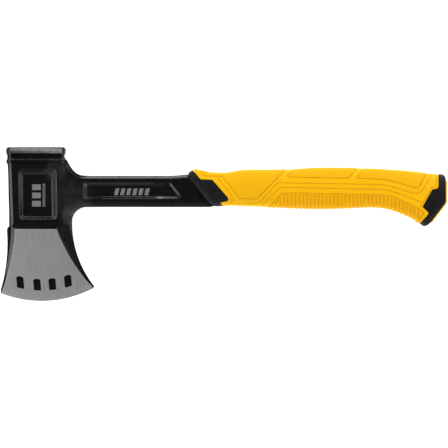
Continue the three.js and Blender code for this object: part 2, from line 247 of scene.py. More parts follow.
class Surface:
    """A principled material with helpers for its noise, colour and bump."""

    def __init__(self, name, roughness, metallic=0.0, specular=0.5):
        self.material = bpy.data.materials.new(name)
        self.material.use_nodes = True
        self.tree = self.material.node_tree
        self.shader = self.tree.nodes["Principled BSDF"]
        self.set("Roughness", roughness)
        self.set("Metallic", metallic)
        self.set("Specular IOR Level", specular)
        self.place = self.tree.nodes.new("ShaderNodeTexCoord").outputs["Object"]
        self.height = None

    def set(self, socket, value):
        self.shader.inputs[socket].default_value = value

    def node(self, kind, **values):
        """A node with some of its settings or inputs set, such as operation or scale."""
        made = self.tree.nodes.new("ShaderNode" + kind)
        for key, value in values.items():
            if hasattr(made, key):
                setattr(made, key, value)
            else:
                made.inputs[key.replace("_", " ").title()].default_value = value
        return made

    def link(self, output, target):
        self.tree.links.new(output, target)

    def stretched(self, scale):
        """The piece's own coordinates in metres, times a scale per axis."""
        mapping = self.node("Mapping")
        mapping.inputs["Scale"].default_value = scale
        self.link(self.place, mapping.inputs["Vector"])
        return mapping.outputs["Vector"]

    def noise(self, scale, detail=2.0, stretch=(1, 1, 1)):
        made = self.node("TexNoise", scale=scale, detail=detail)
        self.link(self.stretched(stretch), made.inputs["Vector"])
        return made.outputs["Fac"]

    def ramp(self, value, low, high, start=0.3, end=0.7):
        """A colour that goes from low to high while a value goes from start to end."""
        made = self.node("ValToRGB")
        for element, position, colour in zip(made.color_ramp.elements, (start, end), (low, high)):
            element.position = position
            element.color = (*colour, 1)
        self.link(value, made.inputs["Fac"])
        return made.outputs["Color"]

    def vary(self, socket, *ramp, **ends):
        """Drives one of the shader's sockets with a ramp."""
        self.link(self.ramp(*ramp, **ends), self.shader.inputs[socket])

    def soft_disc(self, centre, inner, outer):
        """1 around a place on the axe, fading to 0 away from it. Millimetres."""
        reach = self.node("VectorMath", operation="DISTANCE")
        self.link(self.place, reach.inputs[0])
        reach.inputs[1].default_value = tuple(np.array([*centre, 0]) * MM + ORIGIN)
        fade = self.node("MapRange", interpolation_type="SMOOTHSTEP")
        fade.inputs["From Min"].default_value = outer * MM
        fade.inputs["From Max"].default_value = inner * MM
        self.link(reach.outputs["Value"], fade.inputs["Value"])
        return fade.outputs["Result"]

    def blend(self, share, first, second):
        made = self.node("Mix", data_type="FLOAT")
        self.link(share, made.inputs["Factor"])
        self.link(first, made.inputs["A"])
        self.link(second, made.inputs["B"])
        return made.outputs["Result"]

    def bump(self, value, distance, strength=1.0):
        """Adds a layer of relief, distance in metres."""
        made = self.node("Bump")
        made.inputs["Strength"].default_value = strength
        made.inputs["Distance"].default_value = distance
        self.link(value, made.inputs["Height"])
        if self.height is not None:
            self.link(self.height, made.inputs["Normal"])
        self.height = made.outputs["Normal"]
        self.link(self.height, self.shader.inputs["Normal"])


def grey(value):
    return (value, value, value)


def black_enamel():
    """Satin black enamel over a forging: smooth on its flats, rougher on the web."""
    s = Surface("black_enamel", roughness=0.3, specular=0.5)
    s.vary("Base Color", s.noise(260, detail=3), grey(0.001), grey(0.003))
    skin = s.node("Math", operation="MAXIMUM")
    for socket, (place, inner, outer) in zip(skin.inputs, ROUGH_PLACES):
        s.link(s.soft_disc(place, inner, outer), socket)
    coarse = s.noise(380, detail=2, stretch=(1, 0.5, 1))
    smooth = s.ramp(coarse, grey(0.26), grey(0.33))
    forged = s.ramp(coarse, grey(0.4), grey(0.53))
    s.link(s.blend(skin.outputs["Value"], smooth, forged), s.shader.inputs["Roughness"])
    s.bump(coarse, 0.00004, 0.4)
    s.bump(s.noise(1300, detail=1), 0.00001, 0.4)
    return s.material


def ground_steel():
    """Bare steel ground along the blade, with fine streaks towards the edge."""
    s = Surface("ground_steel", roughness=0.5, metallic=1.0)
    streaks = s.noise(1, detail=3, stretch=(2100, 45, 0))
    s.vary("Base Color", streaks, grey(0.48), grey(0.61), start=0.25, end=0.75)
    s.vary("Roughness", streaks, grey(0.48), grey(0.52))
    s.bump(s.noise(1, detail=2, stretch=(4200, 80, 0)), 0.00001, 0.3)
    return s.material


def soft_yellow(name, low, high, roughness, grain):
    """Soft moulded grip rubber: even colour with a fine matt grain."""
    s = Surface(name, roughness=roughness, specular=0.12)
    s.vary("Base Color", s.noise(60, detail=3), low, high)
    s.bump(s.noise(2600, detail=1), 0.00005, grain)
    return s.material


def black_nylon():
    """Moulded black nylon with a fine spark texture."""
    s = Surface("black_nylon", roughness=0.5, specular=0.16)
    s.vary("Base Color", s.noise(150, detail=3), grey(0.006), grey(0.01))
    s.vary("Roughness", s.noise(800, detail=2), grey(0.46), grey(0.56))
    s.bump(s.noise(1900, detail=2), 0.00004, 0.5)
    return s.material


def printed_grey():
    """Pad-printed grey ink."""
    s = Surface("printed_grey", roughness=0.6, specular=0.3)
    s.vary("Base Color", s.noise(500, detail=2), grey(0.15), grey(0.2))
    return s.material


ENAMEL = black_enamel()
STEEL = ground_steel()
LANE = soft_yellow("grip_lane", (0.95, 0.5, 0.001), (0.99, 0.53, 0.002), 0.62, 0.25)
# The panels are the lanes' rubber with a real matt texture (rougher, more grain), and their yellow is
# painted a little darker as painted shade.
SHADED_PANEL = soft_yellow("grip_panel_shaded", (0.91, 0.465, 0.002), (0.94, 0.48, 0.003), 0.74, 0.5)
# The grooves are the same rubber painted a much darker yellow: painted shade in the grooves, on top of
# their real depth.
GROOVE_SHADE = soft_yellow("grip_groove_shade", (0.72, 0.31, 0.003), (0.76, 0.33, 0.004), 0.7, 0.3)
# The rib valleys are the same rubber painted a darker yellow: painted shade in the valleys, on top of
# their real depth.
VALLEY_SHADE = soft_yellow("grip_valley_shade", (0.82, 0.38, 0.003), (0.86, 0.4, 0.003), 0.7, 0.3)
NYLON = black_nylon()
INK = printed_grey()


# ---- Mesh building

def make_object(name, vertices, faces, materials, face_material=None, smooth_angle=40):
    """A mesh from millimetre points, shaded smooth except across sharp corners."""
    mesh = bpy.data.meshes.new(name)
    placed = np.asarray(vertices) * MM + ORIGIN
    mesh.from_pydata([tuple(v) for v in placed], [], [list(map(int, f)) for f in faces])
    for material in materials:
        mesh.materials.append(material)
    if face_material is not None:
        mesh.polygons.foreach_set("material_index", np.asarray(face_material, np.int32))
    work = bmesh.new()
    work.from_mesh(mesh)
    bmesh.ops.remove_doubles(work, verts=work.verts, dist=1e-6)
    bmesh.ops.dissolve_degenerate(work, dist=1e-7, edges=work.edges)
    bmesh.ops.recalc_face_normals(work, faces=work.faces)
    limit = math.radians(smooth_angle)
    for edge in work.edges:
        if len(edge.link_faces) == 2:
            edge.smooth = edge.calc_face_angle(0) < limit
    for face in work.faces:
        face.smooth = True
    work.to_mesh(mesh)
    work.free()
    made = bpy.data.objects.new(name, mesh)
    bpy.context.scene.collection.objects.link(made)
    return made


def mirrored(faces, count):
    """The faces with their mirror images, whose points come count places later."""
    return [tuple(f) for f in faces] + [tuple(count + f[::-1]) for f in faces]


def two_sided(verts, faces, rim, height, face_material, wall_steps=3):
    """A solid that is alike on both sides of the mid-plane, with walls round its rim."""
    count = len(verts)
    points = [np.column_stack([verts, height]), np.column_stack([verts, -height])]
    rings = [list(rim)]
    for k in range(1, wall_steps):
        start = sum(len(p) for p in points)
        rings.append(list(range(start, start + len(rim))))
        points.append(np.column_stack([verts[rim], height[rim] * (1 - 2 * k / wall_steps)]))
    rings.append([count + i for i in rim])
    walls = []
    for above, below in zip(rings[:-1], rings[1:]):
        for i in range(len(rim)):
            j = (i + 1) % len(rim)
            walls.append((above[i], above[j], below[j], below[i]))
    all_faces = mirrored(faces, count) + walls
    materials = list(face_material) * 2 + [0] * len(walls)
    return np.vstack(points), all_faces, materials


# ---- Forging: outline

EDGE_CENTRE = np.array([0.0, 1.7])
EDGE_RADIUS = 97.4
SHAFT_HALF = 13.45  # half the shaft's depth, where the handle takes over
STEEL_HALF = 13.65  # and along its plain part
TOE = np.array([-35.6, -87.6])
HEEL = np.array([45.3, -83.3])
REAR_TOP = np.array([26.6, -26.6])
FILLET = 12.7
SHOULDER_X = 127.7
SHOULDER_MIDDLE = 10.0  # where the slanting shoulder crosses the shaft's middle, past its top
SHOULDER_LEAN = math.tan(math.radians(37.4))
SHOULDER_CORNER = 12.6  # above this the shoulder is upright
GAP = 0.3
HANDLE_LENGTH = 226.6
BUTT_X = SHOULDER_X + HANDLE_LENGTH


def shoulder_x(y):
    return SHOULDER_X + SHOULDER_MIDDLE - np.minimum(y, SHOULDER_CORNER) * SHOULDER_LEAN


def edge_angle(point):
    return math.degrees(math.atan2(point[1] - EDGE_CENTRE[1], point[0] - EDGE_CENTRE[0]))


def poll_and_front():
    """From the poll's rear end, over the poll and down the front to the toe."""
    lip_rear = curve(line((21.1, 33.6), (21.2, 35.2), (21.0, 36.9), (20.3, 38.1), (19.2, 38.7)), 4)
    lip_front = curve(line(
        (-29.0, 38.7), (-30.1, 38.2), (-30.8, 37.0), (-31.0, 35.3), (-30.8, 33.2), (-30.3, 32.1),
        (-29.9, 31.4)
    ), 4)
    bead = curve(line(
        (-29.9, 28.4), (-30.3, 27.7), (-30.7, 26.6), (-30.6, 25.2), (-30.0, 24.2), (-29.5, 23.2)
    ), 3)
    front = line((-29.2, 18.0), (-28.95, 8.0), (-28.75, -4.0), (-28.35, -17.0), (-28.2, -29.6))
    flare = curve(line((-28.3, -30.3), (-28.9, -31.0), (-29.7, -31.5), (-29.95, -32.6)), 3)
    sweep = arc((-177.9, -45), 148, 4.4, -16.4, 20)
    return np.vstack([lip_rear, lip_front, bead, front, flare, sweep])


def cutting_edge():
    return arc(EDGE_CENTRE, EDGE_RADIUS, edge_angle(TOE) + 0.4, edge_angle(HEEL) - 0.4, 60)


def heel_to_fillet():
    return arc((117.4, -26.6), 90.8, 218.2, 180, 24)


def under_line():
    """The fillet behind the blade and the underside of the shaft."""
    fillet = arc((REAR_TOP[0] + FILLET, -STEEL_HALF - FILLET), FILLET, 180, 90, 16)
    return np.vstack([fillet, line((shoulder_x(-STEEL_HALF) - GAP, -STEEL_HALF))])


def over_line():
    """The top of the shaft, with its small flare at the collar, and the sweep to the poll."""
    end = shoulder_x(STEEL_HALF) - GAP
    flare = curve(line(
        (end, STEEL_HALF + 1.1), (end - 3.5, STEEL_HALF + 0.9), (end - 8.5, STEEL_HALF + 0.35),
        (end - 15, STEEL_HALF)
    ), 3)
    sweep = curve(line(
        (42, STEEL_HALF), (38.5, STEEL_HALF + 0.1), (34.6, 14.2), (31.3, 15.4), (28.6, 17.5),
        (25.9, 20.8), (23.7, 24.4), (22.3, 26.9), (20.9, 28.4), (20.3, 29.8), (20.0, 31.2),
        (20.4, 32.3)
    ), 4)
    return np.vstack([flare, sweep])


FRONT_LINE = poll_and_front()
EDGE_LINE = cutting_edge()
REAR_LINE = heel_to_fillet()
UNDER_LINE = under_line()
OVER_LINE = over_line()
SHOULDER_LINE = line(UNDER_LINE[-1], (OVER_LINE[0][0], SHOULDER_CORNER), OVER_LINE[0])
STEEL_OUTLINE = np.vstack([FRONT_LINE, EDGE_LINE, REAR_LINE, UNDER_LINE, SHOULDER_LINE[1],
                           OVER_LINE])


# ---- Forging: relief

# Floors and faces are given by their height above the mid-plane.
NECK_Y = 24.6  # the poll starts here and the cheeks end
CHEEK = 7.3
WEB = 6.3
BEND_Y = -31.6  # the cheeks end here and the blade starts
GROUND_TOP = -32.8
EDGE_HALF = 0.12
EDGE_BEVEL = 5.2  # width of the second bevel at the edge
BEVEL_HALF = 0.85  # half thickness where it starts
POCKET_FLOOR = 4.7
RECESS_FLOOR = 3.6
RECESS_RISE = 1.2  # the recess gets shallower beside the collar
RECESS_RAMP = (93, 109)
SLOT_FLOOR = 0.7
SLOT_PLACES = (-18.6, -3.8, 9.5, 23.1)
SLOT_HALF = 3.15
SLOT_CORNER = 2.0
SLOT_OUTER = EDGE_RADIUS - 9.2
SLOT_INNER = SLOT_OUTER - 10.0

# Front strip of the cheeks and blade: inner and outer crease, from the top down.
STRIP_INNER = line(
    (-26.2, 25), (-25.0, -5), (-24.1, -30), (-23.9, -36), (-24.1, -42), (-24.8, -48),
    (-25.9, -54.5), (-27.4, -61.5), (-29.0, -68), (-30.8, -76), (-32.6, -82), (-35.2, -87)
)
STRIP_OUTER = line(
    (-28.4, 25), (-27.7, -5), (-26.7, -30), (-26.6, -36), (-27.0, -42), (-27.7, -48),
    (-28.6, -54.5), (-29.7, -61.5), (-30.9, -68), (-32.4, -76), (-33.8, -82), (-35.55, -87)
)
GROUND_FRONT = line(
    (-23.5, GROUND_TOP), (-23.7, -38), (-24.0, -42.5), (-24.7, -48), (-25.8, -54.5), (-27.3, -61.5),
    (-29.0, -68.5), (-30.9, -76), (-32.6, -82), (-34.6, -86.6)
)
# Rear border of the ground face, then that of the cheek.
GROUND_REAR = line(
    (13.3, GROUND_TOP), (14.3, -35.8), (17.2, -42.8), (20.7, -49.8), (24.5, -56.8), (28.7, -63.8),
    (33.7, -70.7), (38.9, -77.6), (43.6, -82.2)
)
PAST_EDGE = line((-40, -99), (50, -99))  # closes the ground area beyond the cutting edge
CHEEK_REAR = line((16.2, NECK_Y), (17.0, BEND_Y - 2))


def across(points):
    """x of a line as a function of y."""
    order = points[np.argsort(points[:, 1])]
    return lambda y: np.interp(y, order[:, 1], order[:, 0])


strip_inner, strip_outer = across(STRIP_INNER), across(STRIP_OUTER)
ground_rear, cheek_rear = across(GROUND_REAR), across(CHEEK_REAR)

# A wall's height as a share of the hollow's depth, from its floor to its mouth.
PLAIN_WALL = line((0, 0), (0.12, 0.07), (0.88, 0.93), (1, 1))
DOUBLE_WALL = line((0, 0), (0.3, 0.44), (0.68, 0.54), (1, 1))
ROLLED_WALL = line((0, 0), (0.3, 0.48), (1, 1))


def outward(a, b, places):
    """How far places lie to the right of the line from a to b."""
    run = (b - a) / np.hypot(*(b - a))
    return (places - a) @ np.array([run[1], -run[0]])


def climb(floor, mouth, walls, places):
    """How far up a hollow's walls places are: 0 on its floor and 1 at its mouth."""
    share = np.zeros(len(places))
    for i, wall in enumerate(walls):
        j = (i + 1) % len(walls)
        up = outward(floor[i], floor[j], places)
        left = -outward(mouth[i], mouth[j], places)
        t = np.clip(up / np.maximum(up + left, 1e-6), 0, 1)
        share = np.maximum(share, np.interp(t, wall[:, 0], wall[:, 1]))
    return share


def cut_corners(points, cuts):
    """The polygon with each corner cut off by its own length."""
    result = []
    for i, cut in enumerate(cuts):
        before, here, after = points[i - 1], points[i], points[(i + 1) % len(points)]
        for other in (before, after):
            run = other - here
            result.append(here + run / np.hypot(*run) * cut)
    return np.array(result)


# Corners run anticlockwise from the lower front one.
POCKET = cut_corners(line((-16.0, -21.7), (9.1, -21.8), (8.4, 14.8), (-15.8, 14.8)), (1.3,) * 4)
POCKET_MOUTH = cut_corners(line((-19.3, -24.2), (13.9, -24.5), (13.4, 20.1), (-21.1, 20.1)),
                           (1.9, 1.6, 1.7, 2.3))
# From the strip at the lower front corner on: strip, low, strip, rear, strip, top, strip, front.
POCKET_WALLS = (PLAIN_WALL, PLAIN_WALL, PLAIN_WALL, DOUBLE_WALL,
                PLAIN_WALL, ROLLED_WALL, PLAIN_WALL, PLAIN_WALL)


def recess_corners(top, low_front, low_rear, front, rear):
    """The shaft's hollow: square next to the head, slanting beside the collar."""
    return line(
        (front, low_front), (shoulder_x(low_rear) - rear, low_rear), (shoulder_x(top) - rear, top),
        (front, top)
    )


RECESS = cut_corners(recess_corners(4.6, -4.4, -4.1, 39.7, 21.5), (0.5, 1.0, 0.4, 0.9))
RECESS_MOUTH = cut_corners(recess_corners(8.5, -6.5, -6.6, 36.0, 19.0), (1.0, 0.4, 0.8, 1.6))


def slot_outline(centre, inset=0.0):
    """A slot across the blade: it leans a little, and its inner corners are round."""
    outer, inner = SLOT_OUTER - inset, SLOT_INNER + inset
    half, radius = SLOT_HALF - inset, SLOT_CORNER - inset
    lean = nick = 0.35

    def level(x, r):
        return EDGE_CENTRE[1] - math.sqrt(r ** 2 - x ** 2)

    left, right = centre - half, centre + half
    tilt = math.degrees(math.asin(centre / SLOT_INNER))
    corners = []
    for side, start in ((right - lean - radius, 0), (left - lean + radius, 90)):
        middle = (side, level(side, inner) - radius)
        corners.append(arc(middle, radius, start + tilt * 0.5, start + 90 + tilt * 0.5, 7))
    low = line(
        (left + lean, level(left, outer) + nick), (left + lean + 0.4, level(left + 0.8, outer)),
        (right + lean - 0.4, level(right, outer)), (right + lean, level(right, outer) + nick)
    )
    return np.vstack([low, *corners])


# Profiles of the poll's lip and bead: height above the shaft's middle and half thickness.
LIP_Y = 32.6
LIP = curve(line(
    (LIP_Y, 9.6), (32.9, 9.85), (34.0, 9.37), (35.0, 8.9), (36.0, 8.38), (37.2, 7.7), (POLL_Y, 6.85)
), 4)
LIP_PIVOT = 9.4  # half thickness at which the lip doesn't change from front to rear
LIP_ENDS = (-31.0, 21.1)
BEAD = curve(line((25.5, 7.2), (26.3, 7.4), (27.2, 7.35), (28.0, 7.1), (28.7, 6.75)), 5)
NECK = 6.75
NECK_ENDS = (-29.6, 20.9)
POLL_FACET = (3.0, 0.62, 1.1)  # width, slope and width of the land
LAND_SLOPE = 0.08  # slope of the narrow lands that run along the outline
STRIP_SLOPE = 0.64
BLADE_STRIP_SLOPE = 0.62


def bevelled(to_rim, width, slope, land):
    """Drop of a rim: a facet down to a narrow land that runs along the outline."""
    return np.clip(width - to_rim, 0, width - land) * slope + np.maximum(land - to_rim, 0) * LAND_SLOPE


def poll_relief(p):
    """Lip, neck and bead of the hammer poll."""
    x, y = p.T
    on_lip = y > LIP_Y
    neck = np.where(y > NECK_Y, NECK + 0.1 * step(y, 30, 32), 0)
    bead = np.where((y > BEAD[0, 0]) & (y < BEAD[-1, 0]), np.interp(y, BEAD[:, 0], BEAD[:, 1]), 0)
    lean = 0.9 + 0.2 * (x + 30) / 50  # the lip slopes more towards its rear
    lip = LIP_PIVOT + (np.interp(y, LIP[:, 0], LIP[:, 1]) - LIP_PIVOT) * lean
    relief = np.maximum(np.maximum(neck, bead), np.where(on_lip, lip, 0))
    to_front = x - np.where(on_lip, LIP_ENDS[0], NECK_ENDS[0])
    to_rear = np.where(on_lip, LIP_ENDS[1], NECK_ENDS[1]) - x
    return relief - bevelled(to_front, *POLL_FACET) - bevelled(to_rear, *POLL_FACET)


def with_strip(face, x, y, slope, blend):
    """A face that slopes down to a land in its strip along the front."""
    inner_x, outer_x = strip_inner(y), strip_outer(y)
    strip = face - (inner_x - x) * slope
    land = face - (inner_x - outer_x) * slope - (outer_x - x) * LAND_SLOPE
    return soft_min(soft_max(strip, land, 0.25), face, blend)


def cheek_relief(p):
    """The flat cheeks, which taper a little just above the blade."""
    x, y = p.T
    relief = with_strip(CHEEK, x, y, STRIP_SLOPE, 0.4)
    relief = np.where((y > NECK_Y + 0.3) | (x > cheek_rear(y)), 0, relief)
    foot = CHEEK - np.maximum(BEND_Y + 7 - y, 0) * 0.07
    return np.where(y < BEND_Y, 0, np.minimum(relief, foot))


def ground_relief(p):
    """The blade's flat ground face with the narrow second bevel, and the distance to the edge."""
    to_edge = EDGE_RADIUS - np.hypot(*(p - EDGE_CENTRE).T)
    face = BEVEL_HALF + (to_edge - EDGE_BEVEL) * 0.101
    return soft_min(face, EDGE_HALF + to_edge * 0.14, 0.1), to_edge


def blade_relief(p):
    """The blade: its ground face, and the strip along its front."""
    x, y = p.T
    face, to_edge = ground_relief(p)
    relief = with_strip(np.minimum(face, 6.6), x, y, BLADE_STRIP_SLOPE, 0.3)
    thinnest = np.minimum(1.3, EDGE_HALF + to_edge * 0.1)
    behind = x > ground_rear(y) + 0.2
    return np.where((y > BEND_Y) | behind, 0, np.maximum(relief, thinnest))


def narrowing(x):
    """1 along the head, where the rims' facets are narrow, and 0 along the shaft."""
    return 1 - step(x, 31, 44)


# Facets along the forging's top and underside: slope, where they start in from the outline on the
# shaft, and how much nearer to it on the head.
RIM_FACETS = {"over": (0.63, 3.15, 0.3), "under": (0.56, 4.75, 1.85)}
LAND = (0.3, 1.65)  # width of the land beyond a facet on the shaft, and how much wider on the head
REAR_FACET = (2.2, 0.6, 1.0)  # behind the blade: width, slope and width of the land


def web_relief(p, to_over, to_under, to_rear, to_shoulder):
    """The shaft, the web that joins it to the head, and the bevel behind the blade."""
    x, y = p.T
    border = np.where(y < BEND_Y, ground_rear(y) + 0.2, cheek_rear(y))
    narrow = narrowing(x)
    twist = step(y, -11, -36)  # the web leans back towards the blade
    hollow = np.exp(-((y + 21) / 8) ** 2)  # and is hollow beside the foot of the cheek
    behind = np.maximum(x - ground_rear(y) - 0.3, 0) * narrow
    plate = WEB + 0.2 * twist - behind * (0.22 * twist + 0.3 * hollow)
    ground = ground_relief(p)[0] - behind * 0.22
    plate = np.where(y < -25, soft_min(plate, ground, 0.2), plate)
    plate += 0.1 * np.maximum(4.2 - (x - cheek_rear(y)), 0) ** 1.5 * step(y, -8, 12)  # fillet
    plate -= 0.012 * np.maximum(y - 13, 0) ** 2
    over = bevelled(to_over, *rim_facet(narrow, "over"))
    under = bevelled(to_under, *rim_facet(narrow, "under"))
    rear = bevelled(to_rear, *REAR_FACET) * step(y, -42, -27)
    shoulder = np.maximum(1.6 - to_shoulder, 0) * 0.6 * step(y, -6, -9.5)
    relief = plate
    for drop, blend in ((over, 0.35), (under, 0.35), (rear, 0.35), (shoulder, 0.3)):
        relief = soft_min(relief, plate - drop, blend)
    return np.where((x > border) & (y < NECK_Y), relief, 0)


def carve(relief, p, floor_height, floor, mouth, walls):
    """Sinks a hollow with a floor, a mouth and walls between them."""
    within = inside(mouth, p)
    share = climb(floor, mouth, walls, p)
    return np.where(within, floor_height + (relief - floor_height) * share, relief)


def steel_relief(p):
    """Half thickness of the forging at places in the side view."""
    to_over, to_under = distance_to(OVER_LINE, p), distance_to(UNDER_LINE, p)
    to_rear, to_shoulder = distance_to(REAR_LINE, p), distance_to(SHOULDER_LINE, p)
    to_front = distance_to(FRONT_LINE, p)
    web = web_relief(p, to_over, to_under, to_rear, to_shoulder)
    relief = np.maximum.reduce([web, cheek_relief(p), blade_relief(p), poll_relief(p)])
    x, y = p.T
    groove = 1 - step(np.abs(x - cheek_rear(y) - 0.35), 0.1, 0.5)  # behind the cheek
    relief -= 0.5 * groove * step(y, 24.0, 20) * step(y, -33, -28)
    relief = carve(relief, p, POCKET_FLOOR, POCKET, POCKET_MOUTH, POCKET_WALLS)
    recess_floor = RECESS_FLOOR + RECESS_RISE * step(x, *RECESS_RAMP)
    relief = carve(relief, p, recess_floor, RECESS, RECESS_MOUTH, (PLAIN_WALL,) * 8)
    for centre in SLOT_PLACES:
        relief = np.where(inside(slot_outline(centre, 0.2), p), SLOT_FLOOR, relief)
    rim = np.minimum.reduce([to_over, to_under, to_rear, to_front, to_shoulder])
    fades = step(ground_relief(p)[1], 1, 10)
    radius = np.where(y > LIP_Y, 0.7, 0.35)
    relief -= rolled(rim / radius, 1.0) * radius * fades
    return np.maximum(relief, 0.1)


def rim_facet(narrow, side):
    """Where a rim's facet starts, its slope, and the width of the land beyond it."""
    slope, on_shaft, nearer = RIM_FACETS[side]
    return on_shaft - nearer * narrow, slope, LAND[0] + LAND[1] * narrow


def inset_line(edge, inset):
    """A line inside the forging beside an edge of its outline. inset is a function of x."""
    even = resample(edge, 0.6)
    shift = side_normals(even) * inset(even[:, 0])[:, None]
    middle = len(even) // 2
    if not inside(STEEL_OUTLINE, (even + shift)[middle:middle + 1])[0]:
        shift = -shift
    return even + shift


def rim_creases():
    """Both borders of each facet along the outline."""
    creases = []
    for edge, side in ((OVER_LINE, "over"), (UNDER_LINE, "under")):
        for end in (0, 2):
            crease = inset_line(edge, lambda x: rim_facet(narrowing(x), side)[end])
            crease = crease[(crease[:, 0] < shoulder_x(crease[:, 1]) - 1) & (crease[:, 1] < 24)]
            creases.append(crease)
    for inset in REAR_FACET[::2]:
        creases.append(inset_line(REAR_LINE, lambda x: np.full(len(x), inset))[2:-1])
    return creases


def steel_creases():
    """Lines that the forging's mesh follows exactly."""
    creases = [closed(POCKET), closed(POCKET_MOUTH), closed(RECESS), closed(RECESS_MOUTH)]
    creases += [closed(POCKET + (POCKET_MOUTH - POCKET) * share) for share in (0.3, 0.68)]
    creases += [line((-30, y), (20, y)) for y in (LIP_Y - 0.06, LIP_Y + 0.06)]
    creases += [line(GROUND_FRONT[0], GROUND_REAR[0]), GROUND_FRONT, GROUND_REAR]
    creases += [CHEEK_REAR[::-1] + (shift, 0) for shift in (-0.03, 0.05)]
    creases += [line((-27, y), (15.8, y)) for y in (NECK_Y + 0.25, NECK_Y + 0.35)]
    creases += rim_creases()
    creases = [resample_keeping_corners(crease, 0.6) for crease in creases]
    for centre in SLOT_PLACES:
        creases.append(resample_keeping_corners(closed(slot_outline(centre)), 0.45))
        creases.append(resample_keeping_corners(closed(slot_outline(centre, 0.22)), 0.45))
    return creases


def steel_rows():
    """Where the forging's mesh is fine."""
    crease = (-0.55, -0.25, 0, 0.25, 0.55)
    close = (-0.35, 0.35)
    rows = [rows_beside(closed(STEEL_OUTLINE), (0.2, -0.2, 0.45, -0.45, 0.9, -0.9), 0.6)]
    rows += [rows_beside(closed(hollow), close, 0.7)
             for hollow in (POCKET, POCKET_MOUTH, RECESS, RECESS_MOUTH)]
    rows += [rows_beside(strip, crease, 0.6) for strip in (STRIP_INNER, STRIP_OUTER)]
    rows += [
        rows_beside(CHEEK_REAR, (0.25, 0.45, 0.7, 0.9), 0.6),
        rows_beside(GROUND_REAR, close, 0.6),
        rows_beside(arc(EDGE_CENTRE, EDGE_RADIUS - EDGE_BEVEL, edge_angle(TOE), edge_angle(HEEL), 50),
                    (-0.5, 0, 0.5), 0.8),
    ]
    for x, low in ((-28.0, NECK_Y), (-29.9, NECK_Y), (18.1, NECK_Y), (20.0, 33)):
        rows.append(rows_beside(line((x, low), (x, POLL_Y - 0.1)), (-0.2, 0.2), 0.5))
    rows += [
        rows_beside(line((-30.5, 27), (22, 27)), np.arange(-1.8, 1.9, 0.3), 0.9),
        rows_beside(line((-30.5, 35.6), (21, 35.6)), np.arange(-2.9, 3.0, 0.32), 0.9),
    ]
    rows += [rows_beside(facet, close, 0.6) for facet in rim_creases()]
    return rows


def tang_root():
    """The start of the tang, behind the shoulder, as corner points and faces."""
    half_z, before, after = 5.6, 1.0, 2.5
    levels = (-13.2, SHOULDER_CORNER, 14.3)
    front = [(shoulder_x(y) - before, y) for y in levels]
    back = [(shoulder_x(y) + after, y) for y in reversed(levels)]
    ring = front + back
    count = len(ring)
    corners = [(x, y, z) for z in (-half_z, half_z) for x, y in ring]
    sides = [(i, (i + 1) % count, count + (i + 1) % count, count + i) for i in range(count)]
    return corners, [tuple(range(count)), tuple(range(count, 2 * count)), *sides]


def make_forging():
    outline = resample_keeping_corners(closed(STEEL_OUTLINE), 0.7)[:-1]
    outline = drop_repeats(outline)
    verts, faces, rim = triangulate(outline, steel_rows(), 1.5, keep_lines=steel_creases())
    height = steel_relief(verts)
    middle = verts[faces].mean(axis=1)
    ground = np.vstack([GROUND_FRONT, PAST_EDGE, GROUND_REAR[::-1]])
    bright = inside(ground, middle)
    for centre in SLOT_PLACES:
        bright &= ~inside(slot_outline(centre), middle)
    points, all_faces, materials = two_sided(verts, faces, rim, height, bright.astype(int))
    corners, sides = tang_root()
    all_faces = list(all_faces) + [tuple(len(points) + i for i in side) for side in sides]
    points = np.vstack([points, corners])
    materials = list(materials) + [0] * len(sides)
    made = make_object("forging_skin", points, all_faces, [ENAMEL, STEEL], materials)
    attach(made, "root")
    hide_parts("axe_forging")


# ---- Handle: shape of the outer skin

# Distance from the shoulder and how far the handle stands outside the shaft.
RISE = line(
    (-3, 0), (0.4, 2.7), (2.2, 4.0), (4.8, 5.6), (7, 6.45), (9.2, 5.7), (13.1, 4.65), (18.3, 3.6),
    (25.8, 3.0), (31.9, 2.95), (39.3, 3.7), (44.5, 4.7), (50.2, 5.3), (65.1, 5.35), (91.7, 5.9),
    (112.7, 7.0), (130.6, 7.1), (149.4, 6.75), (175.6, 5.5), (196.5, 3.8), (212.3, 2.1),
    (226.6, 1.3)
)
DROP = line(
    (-3, 0.3), (18.3, 0.7), (23.6, -0.05), (28.8, -0.6), (34.1, -0.9), (49.8, -0.5), (65.5, 0.1),
    (86.5, 1.2), (102.2, 1.85), (117.9, 2.0), (138.9, 1.4), (150.7, 0.85), (159.8, 0.65),
    (166.4, 0.9), (175.6, 2.3), (186.1, 6.0), (196.5, 10.9), (203.1, 15.5), (206.6, 18.0),
    (212, 20), (226.6, 22)
)
GIRTH = line(
    (-3, 9.3), (7, 10.1), (20, 11.8), (32, 12.5), (65, 13.6), (113.6, 14.3), (149.6, 13.9),
    (176.6, 13.7), (204.6, 14.6), (226.6, 14.3)
)  # half thickness
SQUARENESS = 0.72  # 1 makes the sections ellipses and 0 makes them boxes
HALF_GIRTH = 50.0  # length given to half a section, from its top to its bottom


def smooth_along(points):
    """Smooth function through points sorted by x."""
    x, y = points.T
    slope = np.gradient(y, x)

    def value(at):
        i = np.clip(np.searchsorted(x, at) - 1, 0, len(x) - 2)
        width = x[i + 1] - x[i]
        t = np.clip((at - x[i]) / width, 0, 1)
        s = 1 - t
        return (y[i] * s * s * (1 + 2 * t) + y[i + 1] * t * t * (1 + 2 * s)
                + width * s * t * (slope[i] * s - slope[i + 1] * t))
    return value


rise, drop, girth = smooth_along(RISE), smooth_along(DROP), smooth_along(GIRTH)


